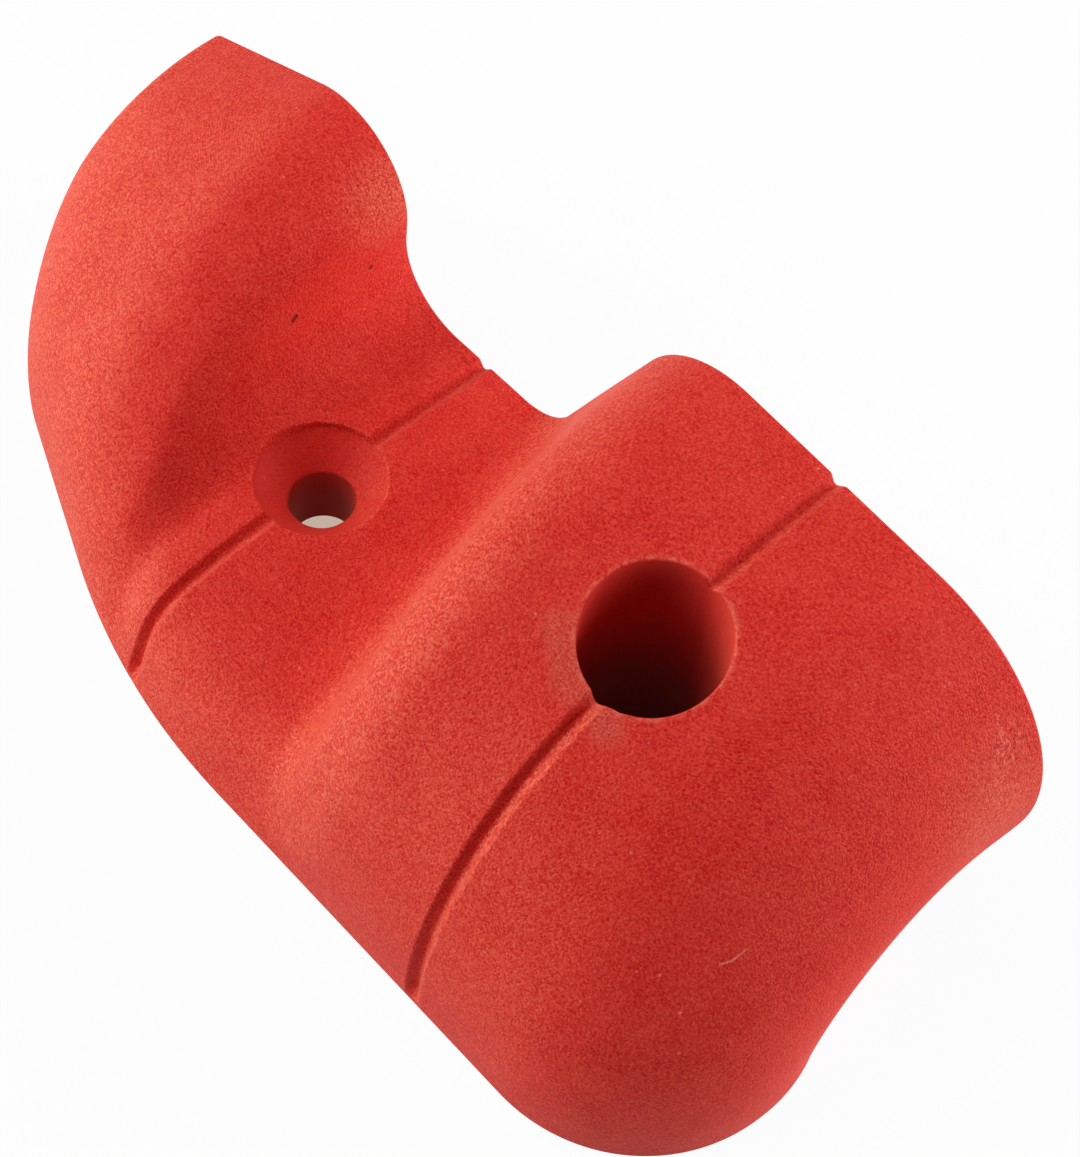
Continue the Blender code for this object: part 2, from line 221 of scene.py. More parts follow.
def grip_surface():
    """Rows along the grip, columns from its far face to the wall. A row leaves the far profile for its landing
    on the wall outline. At angle a of its cross curve, with fullness n and r = (cos a ** n + sin a ** n) **
    (-1 / n), it is r sin a of the way across, r cos a of its far height up, and that share across to the power
    of its drift of its way along. The fullness changes over the lower half, and the profile's radii all the
    way. A groove is cut along the normal, (1 - b ** 2) ** 2 of its depth, where b is the share of its half
    width away from its middle."""
    far, far_r, near_r = FAR_CORNERS[:, :2], FAR_CORNERS[:, 2], FAR_CORNERS[:, 3]
    wall, wall_r = WALL_CORNERS[:, :2], WALL_CORNERS[:, 2]
    marks, wall_marks = round_middles(far, far_r), round_middles(wall, wall_r)
    saddle_at = length_at_x(far, far_r, SADDLE_X, 3, 4)
    hump_at = length_at_x(far, far_r, HUMP_X, 5, 6)
    knots = np.array([0, *marks[1:4], saddle_at, *marks[4:6], hump_at, *marks[6:8]])
    lands = [length_at_x(wall, wall_r, x, 1, 4) for x in LANDS_X]
    end = wall_marks[3] + (wall_marks[4] - wall_marks[3]) * END_LANDS
    landings = [0, wall_marks[1] * SHOULDER_LANDS, *lands, end, wall_marks[-1]]

    # Rows are closer together at the two grooves
    fine = np.linspace(0, marks[-1], ROW_SAMPLES)
    from_groove = np.minimum(abs(fine - saddle_at), abs(fine - hump_at))
    step = GROOVE_STEP + (ROW_STEP - GROOVE_STEP) * smooth((from_groove - GROOVE_REACH) / GROOVE_EASE)
    count = np.cumsum(fine[1] / step)
    run = np.interp(np.linspace(count[0], count[-1], int(count[-1])), count, fine)
    side = np.clip(np.searchsorted(marks, run, side="right") - 1, 0, len(far) - 2)
    share = (run - marks[side]) / (marks[side + 1] - marks[side])
    landing = at_length(wall, wall_r, np.clip(monotone(knots, landings, run), 0, wall_marks[-1]))
    top = monotone(knots, TOP_FULLNESS, run)[:, None]
    bottom = monotone(knots[FOOT_KNOTS], FOOT_FULLNESS, run)[:, None]
    drift = monotone(knots[DRIFT_KNOTS], DRIFT, run)[:, None]
    height = on_rounded(far, far_r, side, share)[:, 1:]
    width = np.maximum(FAR_Y - landing[:, 1:], 0)

    # Columns are set by distance from the far face and from the wall in the two rounds, by angle between them
    ease = 1 - np.cos(np.linspace(0, math.pi / 2, ROUND_COLUMNS))
    edge = np.minimum(FAR_EDGE_R, ROUND_SHARE * width)
    foot = np.minimum(FOOT_R, ROUND_SHARE * height)
    first = edge * ease / np.maximum(width, TINY)
    last = foot * ease[::-1] / np.maximum(height, TINY)
    below_first = (1 - first**top) ** (1 / top)
    before_last = (1 - last**bottom) ** (1 / bottom)
    start = np.arctan2(first[:, -1:], below_first[:, -1:])
    stop = np.arctan2(before_last[:, :1], last[:, :1])
    angle = start + (stop - start) * np.linspace(0, 1, CROSS_COLUMNS + 2)[1:-1]
    n = top + (bottom - top) * np.maximum(0, -np.cos(2 * angle))
    reach = (np.cos(angle) ** n + np.sin(angle) ** n) ** (-1 / n)
    across = np.hstack([first, reach * np.sin(angle), before_last])
    up = np.hstack([below_first, reach * np.cos(angle), last])

    growth = np.sin(np.arctan2(across, up)) ** RADIUS_GROWTH
    radii = far_r + (near_r - far_r) * growth[..., None]
    side, share = (np.broadcast_to(v[:, None], across.shape) for v in (side, share))
    profile = on_rounded(far, radii, side, share)
    x = profile[..., 0] + (landing[:, :1] - profile[..., 0]) * across**drift
    grid = np.stack([x, FAR_Y - width * across, profile[..., 1] * up], axis=-1)

    # Down along the normal: the rounds of the far edge and the foot, and the two grooves
    normal = normals_of(grid)
    depth = np.zeros_like(across)
    depth[:, :ROUND_COLUMNS] += edge * (1 - np.sin(np.arccos(1 - ease)))
    depth[:, -ROUND_COLUMNS:] += foot * (1 - np.sin(np.arccos(1 - ease[::-1])))
    for groove_x in (SADDLE_X, HUMP_X):
        beside = np.clip(abs(x - groove_x) / np.where(x < groove_x, *GROOVE_SIDES), 0, 1)
        depth += GROOVE_DEPTH * (1 - beside**2) ** 2 * smooth(grid[..., 2] / GROOVE_FADE_Z)
    grid -= normal * depth[..., None]
    grid[..., 1] = np.minimum(grid[..., 1], FAR_Y)
    grid[:, 0, 1] = FAR_Y
    grid[..., 2] = np.maximum(grid[..., 2], 0)
    grid[:, -1, 2] = 0
    grid[0], grid[-1] = (*landing[0], 0), (*landing[-1], 0)
    return grid


MERGE_WITHIN = 1e-7


def piece(name, points, faces):
    """An object of these points and faces, smooth shaded, with its doubled points merged."""
    mesh = bpy.data.meshes.new(name)
    mesh.from_pydata(points.tolist(), [], faces)
    built = bmesh.new()
    built.from_mesh(mesh)
    bmesh.ops.remove_doubles(built, verts=built.verts, dist=MERGE_WITHIN)
    bmesh.ops.recalc_face_normals(built, faces=built.faces)
    built.to_mesh(mesh)
    built.free()
    mesh.shade_smooth()
    made = bpy.data.objects.new(name, mesh)
    bpy.context.scene.collection.objects.link(made)
    return made


def grid_faces(rows, columns, closed=False):
    """Four-sided faces between the points of a grid. When it is closed, its last column joins its first."""
    index = np.arange(rows * columns).reshape(rows, columns)
    if closed:
        index = np.hstack([index, index[:, :1]])
    corners = [index[:-1, :-1], index[:-1, 1:], index[1:, 1:], index[1:, :-1]]
    return np.stack(corners, axis=-1).reshape(-1, 4).tolist()


surface = grip_surface()
rows, columns = surface.shape[:2]
far_rim = np.arange(rows) * columns
foot_rim = far_rim[::-1] + columns - 1
faces = grid_faces(rows, columns) + [far_rim.tolist(), foot_rim.tolist()]
grip = piece("resin_grip", surface.reshape(-1, 3), faces)

# The grip's bolt holes, which the mould leaves: a countersunk one through the saddle, and one through the hump
# with a deep counterbore, the pocket that holds its washer, and a plain bore below. Their mouths are rolled
# over, and the deep one's is worn back at its right and chipped in two places.

BORE_R = 0.0055
HEAD_R = 0.0108
DEEP_R = 0.0106
SEAT_MOUTH_Z = 0.0178
POCKET_R = 0.0128
POCKET_Z = (0.0080, 0.0126)
# The cutters: their points around, their ends, and their lips' radius, turn and steps. A lip goes on past its
# turn by a share of its radius, and each of its rings is at least a step above the last
AROUND = 240
BELOW_Z = -0.001
CLEAR_Z = 0.075
FLAT_LIP = 0.0003
LIP_TURN = math.radians(74)
LIP_STEPS = 7
PAST_LIP = 0.5
LOWEST_STEP = 0.0001
# The surface near a hole is what lies at most this far outside it and faces up at least this much
NEAR_HOLE = 0.004
UPWARD = 0.3
SHARP_EDGE = math.radians(32)
# Where a mouth is worn or chipped: bearing and half width in degrees, and how much wider its lip is there
SADDLE_WEAR = ((30, 60, 0.0001), (95, 12, 0.0002), (-80, 10, 0.0002))
HUMP_WEAR = ((40, 42, 0.0004), (-82, 6, 0.0007), (-70, 4, 0.0004), (-149, 4, 0.0006), (-158, 6, 0.0003))
surface_normals = normals_of(surface).reshape(-1, 3)
surface_points = surface.reshape(-1, 3)


def height_near(centre_x, x, y):
    """Height of the grip's surface at each place near this hole: the plane of the nearest of its points."""
    off = np.hypot(surface_points[:, 0] - centre_x, surface_points[:, 1])
    near = np.flatnonzero((off < HEAD_R + NEAR_HOLE) & (surface_normals[:, 2] > UPWARD))
    points, normals = surface_points[near], surface_normals[near]
    places = np.stack([x.ravel(), y.ravel()], axis=1)
    nearest = np.argmin(((places[:, None] - points[:, :2]) ** 2).sum(axis=2), axis=1)
    rise = ((places - points[nearest, :2]) * normals[nearest, :2]).sum(axis=1) / normals[nearest, 2]
    return (points[nearest, 2] - rise).reshape(x.shape)


def hole_cutter(name, centre_x, outline, wear):
    """A turned cutter. Above its (radius, Z) outline its wall goes up to the lip, a quarter round that follows
    the height of the surface all round, though never below the outline. The lip stops short of level, goes on a
    little at that slope, and the wall then stands straight up until it is clear. The lip's radius is the flat
    one plus a bell curve for each worn place."""
    theta = np.linspace(0, 2 * math.pi, AROUND, endpoint=False)
    lip = np.full(AROUND, FLAT_LIP)
    for bearing, half_width, more in wear:
        apart = (np.degrees(theta) - bearing + 180) % 360 - 180
        lip += more * np.exp(-((apart / half_width) ** 2))
    turn = np.linspace(0, LIP_TURN, LIP_STEPS)[:, None]
    out, drop = lip * (1 - np.cos(turn)), lip * (1 - np.sin(turn))
    beyond = lip * PAST_LIP
    mouth_r = outline[-1][0]
    radius = np.vstack([mouth_r + out, mouth_r + out[-1:] + beyond])
    drop = np.vstack([drop, drop[-1:] - beyond / math.tan(LIP_TURN)])
    height = height_near(centre_x, centre_x + radius * np.cos(theta), radius * np.sin(theta)) - drop
    lowest = outline[-1][1] + LOWEST_STEP * np.arange(1, len(radius) + 1)[:, None]
    height = np.maximum(height, lowest)
    flat = np.array(outline)[:, :, None] * np.ones(AROUND)
    radius = np.vstack([flat[:, 0], radius, radius[-1:]])
    height = np.vstack([flat[:, 1], height, np.full((1, AROUND), CLEAR_Z)])
    rings = np.stack([centre_x + radius * np.cos(theta), radius * np.sin(theta), height], axis=-1)
    count = len(rings)
    first = np.arange(AROUND)
    ends = [first[::-1].tolist(), (first + (count - 1) * AROUND).tolist()]
    return piece(name, rings.reshape(-1, 3), grid_faces(count, AROUND, closed=True) + ends)


seat_foot_z = SEAT_MOUTH_Z - (HEAD_R - BORE_R)
saddle_outline = [(BORE_R, BELOW_Z), (BORE_R, seat_foot_z), (HEAD_R, SEAT_MOUTH_Z)]
pocket = [(BORE_R, POCKET_Z[0]), (POCKET_R, POCKET_Z[0]), (POCKET_R, POCKET_Z[1]), (DEEP_R, POCKET_Z[1])]
cutters = [
    hole_cutter("saddle_cut", SADDLE_X, saddle_outline, SADDLE_WEAR),
    hole_cutter("hump_cut", HUMP_X, [(BORE_R, BELOW_Z), *pocket], HUMP_WEAR),
]
for cutter in cutters:
    cut = grip.modifiers.new(cutter.name, "BOOLEAN")
    cut.operation = "DIFFERENCE"
    cut.solver = "EXACT"
    cut.object = cutter
graph = bpy.context.evaluated_depsgraph_get()
drilled = bpy.data.meshes.new_from_object(grip.evaluated_get(graph), depsgraph=graph)
grip.modifiers.clear()
grip.data = drilled
for cutter in cutters:
    bpy.data.objects.remove(cutter, do_unlink=True)
drilled.set_sharp_from_angle(angle=SHARP_EDGE)


class Socket:
    """A value in a material's nodes. Arithmetic on it adds Math nodes, as it does on numbers."""

    def __init__(self, finish, socket):
        self.finish = finish
        self.socket = socket

    def math(self, operation, *others):
        """One Math node, with this value first."""
        return self.finish.node("Math", {"operation": operation}, dict(enumerate((self, *others))))

    def __add__(self, other):
        return self.math("ADD", other)

    def __sub__(self, other):
        return self.math("SUBTRACT", other)

    def __rsub__(self, other):
        return self.finish.node("Math", {"operation": "SUBTRACT"}, {0: other, 1: self})

    def __mul__(self, other):
        return self.math("MULTIPLY", other)

    def __pow__(self, other):
        return self.math("POWER", other)

    __radd__, __rmul__ = __add__, __mul__

    def between(self, low, high):
        """0 below low, 1 above high, eased from one to the other. Low may be the greater."""
        return self.finish.node("MapRange", {"interpolation_type": "SMOOTHSTEP"}, {0: self, 1: low, 2: high})


class Finish:
    """A material and its nodes."""

    def __init__(self, name):
        self.material = bpy.data.materials.new(name)
        self.material.use_nodes = True
        self.tree = self.material.node_tree
        self.shader = self.tree.nodes["Principled BSDF"]
        self.place = self.node("TexCoord", output="Object")

    def node(self, kind, settings=None, sockets=None, output=0):
        """Adds a node of this kind: its settings first, then the values or links of its sockets."""
        made = self.tree.nodes.new("ShaderNode" + kind)
        for name, value in (settings or {}).items():
            setattr(made, name, value)
        for name, value in (sockets or {}).items():
            if isinstance(value, Socket):
                self.tree.links.new(value.socket, made.inputs[name])
            else:
                made.inputs[name].default_value = value
        return Socket(self, made.outputs[output])

    def noise(self, scale, detail=2.0, roughness=0.5, place=None):
        """Noise about 0.5, whose grains are about 1 / scale metres across."""
        sockets = {"Vector": place or self.place, "Scale": scale, "Detail": detail, "Roughness": roughness}
        return self.node("TexNoise", None, sockets)

    def cells(self, scale):
        """Voronoi cells: the distance to the nearest centre, and a random colour for each."""
        near = self.node("TexVoronoi", None, {"Vector": self.place, "Scale": scale}, "Distance")
        return near, Socket(self, near.socket.node.outputs["Color"])

    def blend(self, share, first, second):
        """One colour, turning into another as the share goes from 0 to 1."""
        return self.node("Mix", {"data_type": "RGBA"}, {0: share, 6: first, 7: second}, 2)

    def most(self, first, *others):
        """The greatest of these masks."""
        for mask in others:
            first = first.math("MAXIMUM", mask)
        return first

    def part(self, vector, axis):
        """One of the three numbers of a vector: X, Y or Z."""
        return self.node("SeparateXYZ", None, {0: vector}, axis)

    def vector(self, operation, first, second, output=0):
        """One Vector Math node."""
        return self.node("VectorMath", {"operation": operation}, {0: first, 1: second}, output)

    def spot(self, centre, inner, outer):
        """1 within the inner distance of this place, 0 beyond the outer one."""
        return self.vector("DISTANCE", self.place, centre, "Value").between(outer, inner)

    def stroke(self, start, end, half_width, core=0.3):
        """1 along the line from start to end, fading from the core's share of this half width to 0 at the whole
        of it. The nearest place on the line is the start plus a clamped share of the whole: the offset from the
        start, dot the line, over its length squared."""
        start, line = Vector(start), Vector(end) - Vector(start)
        offset = self.vector("SUBTRACT", self.place, start)
        share = self.vector("DOT_PRODUCT", offset, line / line.length_squared, "Value")
        share = share.math("MAXIMUM", 0.0).math("MINIMUM", 1.0)
        nearest = self.node("VectorMath", {"operation": "SCALE"}, {0: line, "Scale": share})
        return self.vector("DISTANCE", offset, nearest, "Value").between(half_width, half_width * core)

    def path(self, points, half_width):
        """The strokes from each of these points to the next, as one mask."""
        return self.most(*(self.stroke(start, end, half_width) for start, end in zip(points, points[1:])))

    def bump(self, height, distance, strength=1.0):
        """A normal that follows this height, whose full share stands out by the distance."""
        return self.node("Bump", None, {"Height": height, "Distance": distance, "Strength": strength})

    def set(self, **values):
        """Sets or links the shader's sockets."""
        for name, value in values.items():
            socket = self.shader.inputs[name.replace("_", " ")]
            if isinstance(value, Socket):
                self.tree.links.new(value.socket, socket)
            else:
                socket.default_value = value


# The colours of single grains, of smooth resin, of painted glints and pale flecks, of the painted shade in
# pits, of bruised and ground resin, also for painted rim highlights, of the painted shade in the holes and of
# the painted highlight
DARK_GRAIN = (0.580, 0.003, 0.002, 1)
PALE_GRAIN = (0.850, 0.074, 0.050, 1)
SMOOTH_RED = (0.620, 0.026, 0.020, 1)
GLINT_AND_PALE_FLECK = (0.870, 0.360, 0.310, 1)
PIT_SHADE = (0.180, 0.004, 0.003, 1)
BRUISE_AND_RIM_HIGHLIGHT = (0.900, 0.230, 0.150, 1)
GROUND = (0.620, 0.075, 0.060, 1)
HOLE_SHADE = (0.260, 0.006, 0.005, 1)
HIGHLIGHT_PALE = (0.820, 0.420, 0.230, 1)
# How many there are to the metre, of each of these
GRAINS_PER_M = 3300
SAND_PER_M = 2600
SPECKS_PER_M = 900
MOTTLES_PER_M = 120
SCUFFS_PER_M = 3200
GOUGES_PER_M = 900
PINHOLES_PER_M = 260
SCORES_PER_M = 2500
# The scores' turn on the back, and the scale along them, which draws them out
SCORES_TURN = 0.5
SCORES_SCALE = 0.06
# The bearing of the deep hole's right side, painted lighter as a lit crescent, seen from its axis
LIT_CRESCENT_BEARING = math.radians(40.8)
# The height of one layer of the master, and of the grain's relief
LAYER = 0.0002
RELIEF = 0.00013

resin = Finish("red_sand_textured_resin")
spot_x, spot_y, spot_z = (resin.part(resin.place, axis) for axis in "XYZ")
facing = resin.node("NewGeometry", output="Normal")
level_top = resin.part(facing, "Z").between(0.80, 0.95)
back = resin.part(facing, "Z").between(-0.8, -0.95) * spot_z.between(0.0006, 0.0002)
far_side = resin.part(facing, "Y").between(0.95, 0.999) * spot_y.between(FAR_Y - 0.0006, FAR_Y - 0.0001)
off_saddle = ((spot_x - SADDLE_X) ** 2 + spot_y**2) ** 0.5
off_hump = ((spot_x - HUMP_X) ** 2 + spot_y**2) ** 0.5
in_bore = off_saddle.between(BORE_R + 0.0004, BORE_R)
in_seat = off_saddle.between(HEAD_R + 0.0001, HEAD_R - 0.0004)
bored = resin.most(off_hump.between(HEAD_R + 0.0001, HEAD_R - 0.0003), in_bore, in_seat * 0.55)
deep_rim_wear_and_highlight = off_hump.between(HEAD_R - 0.0003, HEAD_R) * off_hump.between(HEAD_R + 0.0008, HEAD_R + 0.0002)
seat_rim_wear_and_highlight = off_saddle.between(HEAD_R - 0.0002, HEAD_R) * off_saddle.between(HEAD_R + 0.0007, HEAD_R + 0.0002)

# Sand: each cell is a grain, with its own shade. A few larger specks are painted pale as glints, and a few are
# hollow, painted dark as the shade in them
from_grain, grain_tint = resin.cells(GRAINS_PER_M)
shade = resin.part(grain_tint, "X")
sand = resin.noise(SAND_PER_M, 2, 0.6)
from_speck, speck_tint = resin.cells(SPECKS_PER_M)
painted_glints = resin.part(speck_tint, "X").between(0.970, 0.990) * from_speck.between(0.26, 0.12)
hollow = resin.part(speck_tint, "Y").between(0.975, 0.995) * from_speck.between(0.30, 0.14)
mottle = resin.noise(MOTTLES_PER_M, 3, 0.6).between(0.3, 0.7)
paleness = shade * 0.45 + (sand - 0.5) * 1.5 + 0.12 + mottle * 0.16
colour = resin.blend(paleness, DARK_GRAIN, PALE_GRAIN)

# Painted highlight, pale and grainy: on what faces the near-left lamps, on the lobe's far side by the saddle
# and at the hump's far end
lamp_side_highlight = resin.vector("DOT_PRODUCT", facing, (-0.70, -0.60, 0.39), "Value").between(0.45, 1.05)
lobe_highlight = resin.spot((-0.0555, 0.0320, 0.0435), 0.0, 0.0120)
hump_end_highlight = resin.spot((0.0790, 0.0260, 0.0370), 0.0, 0.0160)
painted_highlight = resin.most(lamp_side_highlight, lobe_highlight, hump_end_highlight * 0.8)
colour = resin.blend(painted_highlight * (shade**2 * 0.3 + sand * 0.08), colour, HIGHLIGHT_PALE)
colour = resin.blend(painted_glints * 0.3, colour, GLINT_AND_PALE_FLECK)
colour = resin.blend(hollow * 0.3, colour, PIT_SHADE)

# Wear: scuffs left of and below the deep hole's mouth, a rough place at the hump's far end, scratches there and
# by the groove at the foot, a lint fibre, two pale nicks and three pits in the lobe's wall
scuff = resin.most(
    resin.stroke((0.0250, -0.0078, 0.0545), (0.0318, -0.0120, 0.0527), 0.0040),
    resin.spot((0.0385, -0.0122, 0.0517), 0.0010, 0.0044),
)
scuff = scuff * resin.noise(SCUFFS_PER_M, 4, 0.75).between(0.42, 0.64)
rough = resin.spot((0.0755, 0.0306, 0.0445), 0.0012, 0.0048)
gouged = resin.noise(GOUGES_PER_M, 2, 0.6)
end_scratch = [(0.0722, 0.0300, 0.0489), (0.0742, 0.0298, 0.0467), (0.0750, 0.0292, 0.0455)]
foot_scratch = [(0.0408, -0.0427, 0.0081), (0.0450, -0.0403, 0.0192), (0.0475, -0.0399, 0.0185)]
scratch = resin.most(resin.path(end_scratch, 0.0004), resin.path(foot_scratch, 0.00025))
fibre = resin.path([(0.0692, -0.0191, 0.0355), (0.0700, -0.0176, 0.0357), (0.0706, -0.0146, 0.0372)], 0.00022)
nicks = resin.most(
    resin.spot((0.0694, -0.0260, 0.0303), 0.0001, 0.0004),
    resin.spot((0.0647, -0.0258, 0.0345), 0.0001, 0.0003),
)
pits = resin.most(
    resin.stroke((-0.0537, 0.0104, 0.0325), (-0.0537, 0.0111, 0.0330), 0.0006),
    resin.spot((-0.0542, 0.0272, 0.0323), 0.0002, 0.0007),
    resin.spot((-0.0579, -0.0007, 0.0371), 0.0001, 0.0004) * 0.4,
)
colour = resin.blend(scuff * 0.55, colour, BRUISE_AND_RIM_HIGHLIGHT)
# Pale flecks round both mouths: chipped edges, and partly a painted highlight along the rims
colour = resin.blend(deep_rim_wear_and_highlight * gouged.between(0.35, 0.65) * 0.35, colour, BRUISE_AND_RIM_HIGHLIGHT)
colour = resin.blend(seat_rim_wear_and_highlight * sand.between(0.58, 0.68) * 0.5, colour, BRUISE_AND_RIM_HIGHLIGHT)
colour = resin.blend(rough * gouged.between(0.54, 0.62) * 0.6, colour, BRUISE_AND_RIM_HIGHLIGHT)
# The rough place's hollows are painted dark, as the shade in them
colour = resin.blend(rough * gouged.between(0.45, 0.37) * 0.6, colour, PIT_SHADE)
colour = resin.blend(scratch * sand.between(0.4, 0.6) * 0.4, colour, BRUISE_AND_RIM_HIGHLIGHT)
colour = resin.blend(resin.most(fibre * 0.45, nicks * 0.4), colour, GLINT_AND_PALE_FLECK)
# The lobe's pits are painted dark, as the shade in them
colour = resin.blend(pits * 0.85, colour, PIT_SHADE)

# Inside the holes the mould was turned smooth. The saddle's bore and the lower part of the deep hole are
# painted darker as shade, and the deep one's right side is painted lighter as a lit crescent
crescent_x, crescent_y = math.cos(LIT_CRESCENT_BEARING), math.sin(LIT_CRESCENT_BEARING)
towards_crescent = (spot_x - HUMP_X) * crescent_x + spot_y * crescent_y
lit_crescent = towards_crescent.between(0.0060, 0.0100) * spot_z.between(0.022, 0.036)
crescent_lit_red = resin.blend(lit_crescent * 0.4, SMOOTH_RED, PALE_GRAIN)
deep_hole_shade = spot_z.between(0.050, 0.026) * off_hump.between(0.0150, 0.0120) * (1 - lit_crescent * 0.8)
shaded_bore_red = resin.blend(resin.most(deep_hole_shade, in_bore * 0.38), crescent_lit_red, HOLE_SHADE)
colour = resin.blend(bored, colour, shaded_bore_red)

# The back is ground flat, which leaves it pale, with fine scores and open pinholes painted dark as the shade in
# them
drawn_out = {"Vector": resin.place, "Rotation": (0, 0, SCORES_TURN), "Scale": (SCORES_SCALE, 1, 1)}
scores = resin.noise(SCORES_PER_M, 2, 0.6, resin.node("Mapping", None, drawn_out))
from_hole, hole_tint = resin.cells(PINHOLES_PER_M)
pinholes = from_hole.between(0.10, 0.07) * resin.part(hole_tint, "Z").between(0.55, 0.6)
ground_red = resin.blend(scores.between(0.35, 0.7), SMOOTH_RED, GROUND)
colour = resin.blend(back, colour, resin.blend(pinholes * 0.8, ground_red, PIT_SHADE))

# Grain stands up in relief, less so in the holes and on the flat sides, and where the surface is nearly level
# it shows the fine steps of the master's layers
grain = (shade * 0.6 + sand * 1.5 - from_grain * 0.7) * (1 - bored * 0.92) * (1 - back * 0.8)
worn = rough * gouged * 3.0 - pits * 2.0 - hollow * 0.8 + scuff * 0.4
steps = (spot_z * (1 / LAYER)).math("PINGPONG", 0.5) * level_top * (1 - bored)
relief = grain * (1 - far_side * 0.5) + worn + steps * 1.1 + scores * back * 0.5
resin.set(
    Base_Color=colour,
    Roughness=0.46 + sand * 0.2 - bored * 0.06,
    Specular_IOR_Level=0.10,
    Sheen_Weight=0.10,
    Sheen_Roughness=0.4,
    Sheen_Tint=(1, 0.6, 0.4, 1),
    Normal=resin.bump(relief, RELIEF, 0.9),
)
grip.data.materials.clear()
grip.data.materials.append(resin.material)
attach(grip, "root")
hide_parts("hold_body")

# The seat washer
# A turned steel ring, zinc plated, set in the mould so that the resin holds it at the foot of the deep hole.

WASHER_OUTER_R = 0.0125
WASHER_INNER_R = 0.00525
WASHER_THICK = 0.0040
WASHER_Z = 0.0083
WASHER_EDGE_R = 0.0003
WASHER_AROUND = 96
# Where a corner's round has its points, in degrees from its start
CORNER_TURNS = np.array([90, 60, 30, 0])
WASHER_SHARP = math.radians(40)
PALE_ZINC = (0.62, 0.62, 0.60, 1)
DULL_ZINC = (0.42, 0.41, 0.37, 1)
TARNISH_PER_M = 400
GRIT_PER_M = 5000
GRIT = 0.00002


def washer_ring():
    """The washer's section, a rectangle with quarter-round corners, turned about the hump's axis."""
    low, high = WASHER_Z, WASHER_Z + WASHER_THICK
    inner, outer = WASHER_INNER_R, WASHER_OUTER_R
    corners = [(inner, low, 180), (inner, high, 90), (outer, high, 0), (outer, low, -90)]
    middle_r, middle_z = (inner + outer) / 2, (low + high) / 2
    section = []
    for r, z, start in corners:
        turn = np.radians(start + CORNER_TURNS)
        centre_r = r + math.copysign(WASHER_EDGE_R, middle_r - r)
        centre_z = z + math.copysign(WASHER_EDGE_R, middle_z - z)
        radius = centre_r + WASHER_EDGE_R * np.cos(turn)
        section.append(np.stack([radius, centre_z + WASHER_EDGE_R * np.sin(turn)], 1))
    section = np.concatenate(section)
    theta = np.linspace(0, 2 * math.pi, WASHER_AROUND, endpoint=False)
    x = HUMP_X + section[:, :1] * np.cos(theta)
    y = section[:, :1] * np.sin(theta)
    points = np.stack([x, y, np.broadcast_to(section[:, 1:], x.shape)], -1)
    return np.concatenate([points, points[:1]])


ring = washer_ring()
washer = piece("steel_seat_washer", ring.reshape(-1, 3), grid_faces(*ring.shape[:2], closed=True))
washer.data.set_sharp_from_angle(angle=WASHER_SHARP)
zinc = Finish("zinc_plated_steel")
tarnish = zinc.noise(TARNISH_PER_M, 3, 0.6)
zinc.set(
    Base_Color=zinc.blend(tarnish.between(0.35, 0.7), PALE_ZINC, DULL_ZINC),
    Metallic=1.0,
    Roughness=tarnish * 0.25 + 0.25,
    Normal=zinc.bump(zinc.noise(GRIT_PER_M, 1), GRIT),
)
washer.data.materials.append(zinc.material)
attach(washer, "root")
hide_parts("seat_washer")

# The table top it lies on: plain white card, lit like the rest but shown to the lens as nearly pure white, with
# a trace of the grip's shadow. Under the two holes it glows a dull beige, a painted shade where little light
# comes.

FLOOR_HALF = 3.0
FLOOR_Z = -0.0003
CARD_WHITE = (0.8, 0.8, 0.8, 1)
WHITE = (1, 1, 1, 1)
SHADED_BEIGE = (0.55, 0.43, 0.35, 1)
SHOWN_WHITE = 0.95
SHADE_R = (0.006, 0.012)
corner_signs = np.array([(-1, -1), (1, -1), (1, 1), (-1, 1)])
floor_points = np.hstack([FLOOR_HALF * corner_signs, np.full((4, 1), FLOOR_Z)])
floor = piece("table_top", floor_points, [[0, 1, 2, 3]])
card = Finish("white_card")
card.set(Base_Color=CARD_WHITE, Roughness=0.9)
ray_kinds = ("Is Camera Ray", "Is Glossy Ray", "Is Transmission Ray")
seen = card.most(*(card.node("LightPath", output=kind) for kind in ray_kinds))
in_shade = card.most(*(card.spot((x, 0.0, FLOOR_Z), *SHADE_R) for x in (SADDLE_X, HUMP_X)))
lit = Socket(card, card.shader.outputs[0])
glow = card.node("Emission", None, {"Color": WHITE, "Strength": 1.0})
beige_shade_glow = card.node("Emission", None, {"Color": SHADED_BEIGE, "Strength": 1.0})
mixed = card.node("MixShader", None, {0: seen * SHOWN_WHITE, 1: lit, 2: glow})
mixed = card.node("MixShader", None, {0: seen * in_shade, 1: mixed, 2: beige_shade_glow})
card.tree.links.new(mixed.socket, card.tree.nodes["Material Output"].inputs["Surface"])
floor.data.materials.append(card.material)

# Light: soft boxes low on the near left, high on the left, low on the far right and on the right, faint ones
# above and on the far left, and a pale room that little but the lens and reflections see.

BOX_DISTANCE = 0.8
ROOM_LIGHT = 0.02
ROOM_SHOWN = 0.96


def soft_box(name, azimuth, elevation, size, level):
    """A square lamp that faces the grip from these angles, in degrees, and gives it a share of full light: its
    power is that level times pi squared times the distance squared."""
    lamp = bpy.data.lights.new(name, "AREA")
    lamp.size = size
    lamp.energy = level * math.pi * math.pi * BOX_DISTANCE**2
    made = bpy.data.objects.new(name, lamp)
    turn, rise = math.radians(azimuth), math.radians(elevation)
    direction = (math.cos(turn) * math.cos(rise), math.sin(turn) * math.cos(rise), math.sin(rise))
    made.location = Vector(direction) * BOX_DISTANCE
    made.rotation_mode = "QUATERNION"
    made.rotation_quaternion = made.location.to_track_quat("Z", "Y")
    bpy.context.scene.collection.objects.link(made)


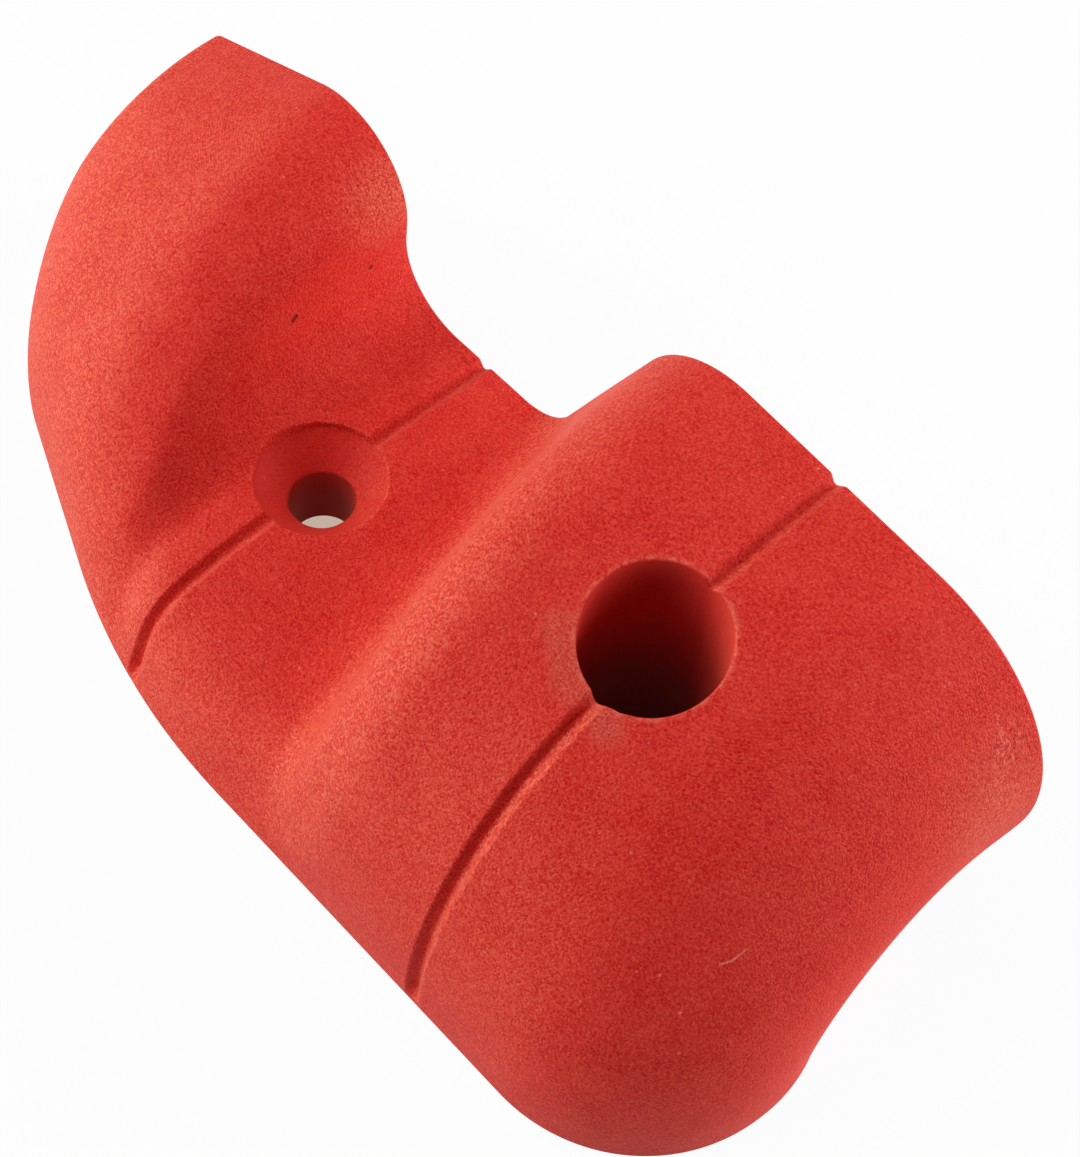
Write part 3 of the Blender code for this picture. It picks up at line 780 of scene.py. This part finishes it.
soft_box("near_left_box", 228, 16, 0.65, 0.81)
soft_box("left_box", 205, 58, 0.50, 0.55)
soft_box("far_right_box", 62, 16, 0.50, 0.73)
soft_box("right_box", 28, 18, 0.45, 0.45)
soft_box("top_box", 0, 88, 0.35, 0.06)
soft_box("far_left_box", 140, 18, 0.45, 0.12)
room = bpy.data.worlds.new("pale_room")
room.use_nodes = True
bpy.context.scene.world = room
tree = room.node_tree
walls = tree.nodes["Background"]
walls.inputs["Color"].default_value = WHITE
rays = tree.nodes.new("ShaderNodeLightPath")
direct = tree.nodes.new("ShaderNodeMath")
direct.operation = "MAXIMUM"
tree.links.new(rays.outputs["Is Camera Ray"], direct.inputs[0])
tree.links.new(rays.outputs["Is Glossy Ray"], direct.inputs[1])
brightness = tree.nodes.new("ShaderNodeMapRange")
brightness.inputs["To Min"].default_value = ROOM_LIGHT
brightness.inputs["To Max"].default_value = ROOM_SHOWN
tree.links.new(direct.outputs[0], brightness.inputs["Value"])
tree.links.new(brightness.outputs[0], walls.inputs["Strength"])

# Camera: above the near side, towards the hump's end, and rolled a little, as the grip was photographed.

AZIMUTH = math.radians(40.83)
ELEVATION = math.radians(56.99)
ROLL = math.radians(6.67)
AIM = Vector((0.00242, 0.01272, 0.01970))
DISTANCE = 0.3426
FOCAL_MM = 68.41
SENSOR_MM = 36
CLIP = (0.01, 20)
level_part = math.cos(ELEVATION)
towards = Vector((math.sin(AZIMUTH) * level_part, -math.cos(AZIMUTH) * level_part, math.sin(ELEVATION)))
level_right = Vector((math.cos(AZIMUTH), math.sin(AZIMUTH), 0))
level_above = towards.cross(level_right)
right = level_right * math.cos(ROLL) + level_above * math.sin(ROLL)
above = level_above * math.cos(ROLL) - level_right * math.sin(ROLL)
lens = bpy.data.cameras.new("camera")
lens.lens = FOCAL_MM
lens.sensor_width = SENSOR_MM
lens.clip_start, lens.clip_end = CLIP
camera = bpy.data.objects.new("camera", lens)
turned = Matrix((right, above, towards)).transposed().to_4x4()
camera.matrix_world = Matrix.Translation(AIM + towards * DISTANCE) @ turned
bpy.context.scene.collection.objects.link(camera)
bpy.context.scene.camera = camera
bpy.context.scene.view_settings.view_transform = "Standard"
